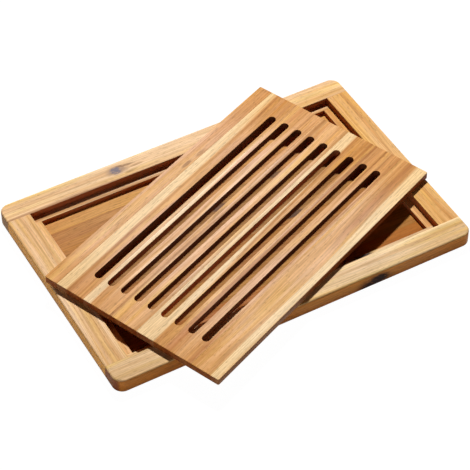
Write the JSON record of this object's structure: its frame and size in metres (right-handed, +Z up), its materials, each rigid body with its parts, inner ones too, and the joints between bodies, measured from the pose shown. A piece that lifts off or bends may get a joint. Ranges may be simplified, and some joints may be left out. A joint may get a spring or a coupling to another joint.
{
  "type": "bread board with crumb catcher",
  "caption": "Wooden crumb tray with a stepped frame and a glued-up floor, and a loose slotted bread board that lies askew on its rim and lifts off.",
  "frame": {"origin": "middle of the tray's underside, on the table", "axes": "+X along the tray's length towards its right end, +Y across it towards its back rail, +Z up"},
  "size_m": [0.4834, 0.3992, 0.0298],
  "materials": {
    "rail_wood": "oiled",
    "end_wood": "oiled",
    "floor_wood": "oiled",
    "board_heartwood": "oiled",
    "board_sapwood": "oiled",
    "dowel_wood": "raw"
  },
  "bodies": {
    "tray": {"back_rail": "rail_wood", "front_rail": "rail_wood", "left_end_rail": "end_wood", "right_end_rail": "end_wood", "dowel_front_left_inner": "dowel_wood", "dowel_front_left_outer": "dowel_wood", "dowel_front_right_inner": "dowel_wood", "dowel_front_right_outer": "dowel_wood", "dowel_back_left_inner": "dowel_wood", "dowel_back_left_outer": "dowel_wood", "dowel_back_right_inner": "dowel_wood", "dowel_back_right_outer": "dowel_wood", "floor_stave_1": "floor_wood", "floor_stave_2": "floor_wood", "floor_stave_3": "floor_wood", "floor_stave_4": "floor_wood", "floor_stave_5": "floor_wood", "floor_stave_6": "floor_wood", "floor_stave_7": "floor_wood"},
    "slotted_board": {"board_stave_1": "board_sapwood", "board_stave_2": "board_heartwood", "board_stave_3": "board_sapwood", "board_stave_4": "board_heartwood", "board_stave_5": "board_heartwood", "board_stave_6": "board_sapwood", "board_stave_7": "board_heartwood"}
  },
  "joints": [
    {"name": "board_lift", "type": "slide", "parent": "tray", "child": "slotted_board", "axis": [0, 0, 1], "range_m": [0, 0.12]}
  ]
}
